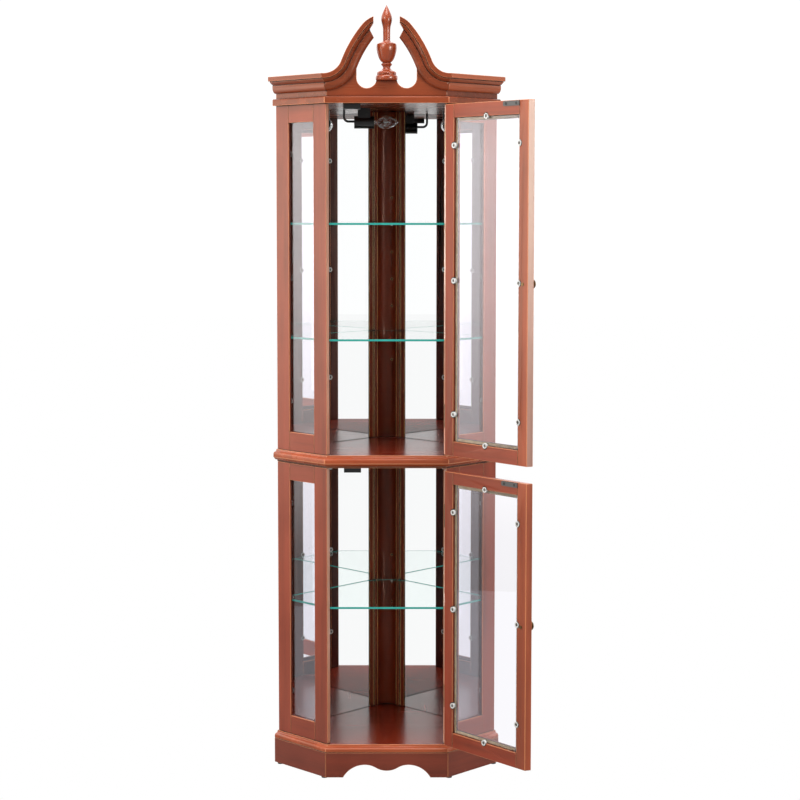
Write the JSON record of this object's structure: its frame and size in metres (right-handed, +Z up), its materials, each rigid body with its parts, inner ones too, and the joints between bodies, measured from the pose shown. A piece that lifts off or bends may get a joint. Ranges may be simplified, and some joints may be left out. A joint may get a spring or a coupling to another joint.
{
  "type": "corner curio cabinet",
  "caption": "Glazed wooden corner display cabinet with mirrored back walls, glass shelves, two stacked doors standing open, a broken swan-neck pediment and an urn finial",
  "frame": {"origin": "on the floor, at the centre of the glide under the rear corner, on the plane of symmetry", "axes": "+Z up, front towards -Y, both room walls behind the rear corner at +Y"},
  "size_m": [0.6426, 0.6426, 1.9032],
  "materials": {
    "case_wood": "satin mahogany stain",
    "door_wood": "satin mahogany stain",
    "top_wood": "satin mahogany stain",
    "back_wood": "plain stained board",
    "clear_glass": "polished",
    "shelf_glass": "polished with green edges",
    "mirror": "silvered",
    "clips": "matte",
    "glides": "matte",
    "black_plastic": "satin",
    "bulb_glass": "clear",
    "strike_steel": "dull",
    "hardware": "antique",
    "pins": "satin"
  },
  "bodies": {
    "carcass": {"plinth_front": "case_wood", "plinth_left": "case_wood", "plinth_right": "case_wood", "base_deck": "case_wood", "waist_deck": "case_wood", "lower_front_stile_left": "case_wood", "lower_front_stile_right": "case_wood", "upper_front_stile_left": "case_wood", "upper_front_stile_right": "case_wood", "rear_stiles_left": "case_wood", "rear_stiles_right": "case_wood", "side_rails_left": "case_wood", "side_rails_right": "case_wood", "corner_post_lower": "case_wood", "corner_post_upper": "case_wood", "top_deck": "top_wood", "crown_left": "top_wood", "crown_right": "top_wood", "frieze_boards": "top_wood", "gable_left": "top_wood", "gable_right": "top_wood", "tympanum": "top_wood", "finial_block": "top_wood", "finial": "top_wood", "plinth_back_rails": "back_wood", "lower_bay_top": "back_wood", "back_board_left": "back_wood", "back_board_right": "back_wood", "side_glass_left": "clear_glass", "side_glass_right": "clear_glass", "shelf_lower": "shelf_glass", "shelf_middle": "shelf_glass", "shelf_top": "shelf_glass", "mirror_left": "mirror", "mirror_right": "mirror", "side_glass_clips": "clips", "glides": "glides", "lamp_socket": "black_plastic", "lamp_lead": "black_plastic", "magnetic_catches": "black_plastic", "lamp_bulb": "bulb_glass", "hinge_frame_leaves": "hardware", "shelf_pins": "pins"},
    "lower_door": {"lower_door_hinge_stile": "door_wood", "lower_door_latch_stile": "door_wood", "lower_door_rails": "door_wood", "lower_door_glass": "clear_glass", "lower_door_glass_clips": "clips", "lower_door_strike_plate": "strike_steel", "lower_door_knob": "hardware", "lower_door_hinge_leaves": "hardware"},
    "upper_door": {"upper_door_hinge_stile": "door_wood", "upper_door_latch_stile": "door_wood", "upper_door_rails": "door_wood", "upper_door_glass": "clear_glass", "upper_door_glass_clips": "clips", "upper_door_strike_plate": "strike_steel", "upper_door_knob": "hardware", "upper_door_hinge_leaves": "hardware"}
  },
  "joints": [
    {"name": "lower_door_hinge", "type": "hinge", "parent": "carcass", "child": "lower_door", "pos_m": [0.14961, -0.39901, 0.43], "axis": [0, 0, 1], "range_deg": [-131, 39]},
    {"name": "upper_door_hinge", "type": "hinge", "parent": "carcass", "child": "upper_door", "pos_m": [0.14961, -0.39901, 1.23735], "axis": [0, 0, 1], "range_deg": [-131, 39]}
  ]
}
